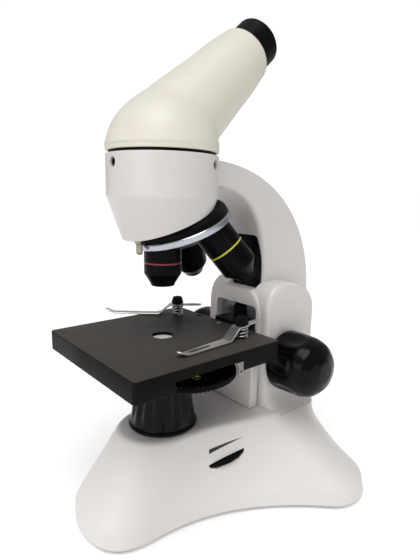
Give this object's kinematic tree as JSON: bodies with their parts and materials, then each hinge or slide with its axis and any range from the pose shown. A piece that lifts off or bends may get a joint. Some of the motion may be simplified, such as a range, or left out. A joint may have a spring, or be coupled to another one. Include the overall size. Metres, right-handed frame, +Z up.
{
  "type": "student microscope",
  "caption": "Upright student microscope with a tripod base, curved arm, focusing stage with slide clips, turning nosepiece and an inclined eyepiece head.",
  "frame": {"origin": "middle of the object's box, on the table it stands on", "axes": "+Z up; -Y is the microscope's front; the eyepiece slopes up towards +Y, over the arm; X runs along the focus shaft"},
  "size_m": [0.153, 0.1596, 0.2724],
  "materials": {
    "white": "semi-gloss enamel",
    "cream": "semi-gloss enamel",
    "base_white": "moulded, semi-gloss",
    "gloss_black": "moulded, polished",
    "stage_black": "satin enamel",
    "black_plastic": "moulded, fine grain",
    "black_metal": "matt black",
    "steel": "brushed",
    "chrome": "polished plate",
    "brass": "turned",
    "rubber": "moulded",
    "glass": "polished",
    "yellow_glass": "dyed",
    "board": "lacquered circuit board",
    "cell": "printed wrap"
  },
  "bodies": {
    "stand": {"base_shell": "base_white", "base_plate": "black_plastic", "foot_pad_front": "rubber", "foot_pad_left": "rubber", "foot_pad_right": "rubber", "battery_tray": "black_plastic", "battery_1": "cell", "battery_2": "cell", "battery_3": "cell", "lamp_board": "board", "lamp_cup": "gloss_black", "lamp_lens": "glass", "dimmer_body": "black_plastic", "arm_casting": "white", "front_cover": "white", "arm_plate": "black_plastic", "arm_plate_screw_1": "black_metal", "arm_plate_screw_2": "black_metal", "slide_guide": "steel", "shaft_bush_right": "brass", "shaft_bush_left": "brass", "detent_pin": "brass", "head_set_screw_front": "black_metal", "head_set_screw_rear": "black_metal", "nose_collar": "black_plastic"},
    "battery_door": {"battery_door": "black_plastic"},
    "dimmer": {"dimmer_wheel": "black_plastic"},
    "focus_drive": {"pinion_shaft": "steel", "focus_knob_right": "gloss_black", "focus_knob_left": "gloss_black"},
    "turret": {"turret_screw": "steel", "turret_disc": "black_plastic", "turret_ring": "chrome", "objective_low": "gloss_black", "objective_lens_low": "glass", "objective_medium": "gloss_black", "objective_lens_medium": "glass", "objective_high": "gloss_black", "objective_lens_high": "glass"},
    "head": {"head_shell": "cream", "head_flange": "black_metal", "head_prism": "glass"},
    "eyepiece": {"eyepiece_barrel": "chrome", "eyepiece_cap": "black_metal", "eye_lens": "glass", "field_lens": "glass"},
    "stage": {"stage_plate": "stage_black", "stage_glass": "glass", "stage_screw": "steel", "stage_bracket": "stage_black", "disc_pivot": "steel", "disc_tab": "steel"},
    "aperture_wheel": {"aperture_disc": "black_plastic", "yellow_filter": "yellow_glass"},
    "clip_post_right": {"clip_knob_right": "black_plastic", "clip_spring_right": "steel"},
    "clip_post_left": {"clip_knob_left": "black_plastic", "clip_spring_left": "steel"},
    "clip_arm_right": {"clip_strip_right": "steel"},
    "clip_arm_left": {"clip_strip_left": "steel"}
  },
  "joints": [
    {"name": "head_rotate", "type": "hinge", "parent": "stand", "child": "head", "pos_m": [0, -0.02975, 0.197], "axis": [0, 0, 1], "continuous": true},
    {"name": "eyepiece_pull", "type": "slide", "parent": "head", "child": "eyepiece", "axis": [0, 0.7408, 0.6717], "range_m": [0, 0.025]},
    {"name": "nosepiece_turn", "type": "hinge", "parent": "stand", "child": "turret", "pos_m": [0, -0.02975, 0.1885], "axis": [0, -0.3907, 0.9205], "continuous": true},
    {"name": "focus_knob_turn", "type": "hinge", "parent": "stand", "child": "focus_drive", "pos_m": [0, 0.04075, 0.0785], "axis": [1, 0, 0], "range_deg": [-97, 97]},
    {"name": "stage_focus", "type": "slide", "parent": "stand", "child": "stage", "axis": [0, 0, 1], "range_m": [-0.008, 0.008]},
    {"name": "aperture_turn", "type": "hinge", "parent": "stage", "child": "aperture_wheel", "pos_m": [0.0152, -0.02655, 0.0845], "axis": [0, 0, 1], "continuous": true},
    {"name": "clip_swivel_right", "type": "hinge", "parent": "stage", "child": "clip_post_right", "pos_m": [0.0292, 0.00155, 0.1], "axis": [0, 0, 1], "range_deg": [-35, 45]},
    {"name": "clip_swivel_left", "type": "hinge", "parent": "stage", "child": "clip_post_left", "pos_m": [-0.0292, 0.00155, 0.1], "axis": [0, 0, 1], "range_deg": [-8, 70]},
    {"name": "clip_lift_right", "type": "hinge", "parent": "clip_post_right", "child": "clip_arm_right", "pos_m": [0.0292, 0.00155, 0.1068], "axis": [-0.996, -0.0889, 0], "range_deg": [0, 4], "stiffness_Nm_per_rad": 0.05},
    {"name": "clip_lift_left", "type": "hinge", "parent": "clip_post_left", "child": "clip_arm_left", "pos_m": [-0.0292, 0.00155, 0.1068], "axis": [-0.7513, 0.66, 0], "range_deg": [0, 4], "stiffness_Nm_per_rad": 0.05},
    {"name": "dimmer_turn", "type": "hinge", "parent": "stand", "child": "dimmer", "pos_m": [0.0173, -0.00445, 0.0334], "axis": [0, -0.23, 0.9732], "range_deg": [-135, 135]},
    {"name": "battery_door_lift_off", "type": "slide", "parent": "stand", "child": "battery_door", "axis": [0, 0, -1], "range_m": [0, 0.03]}
  ],
  "couplings": [
    {"joint": "focus_knob_turn", "follows": "stage_focus", "rad_per_m": -208.33}
  ]
}
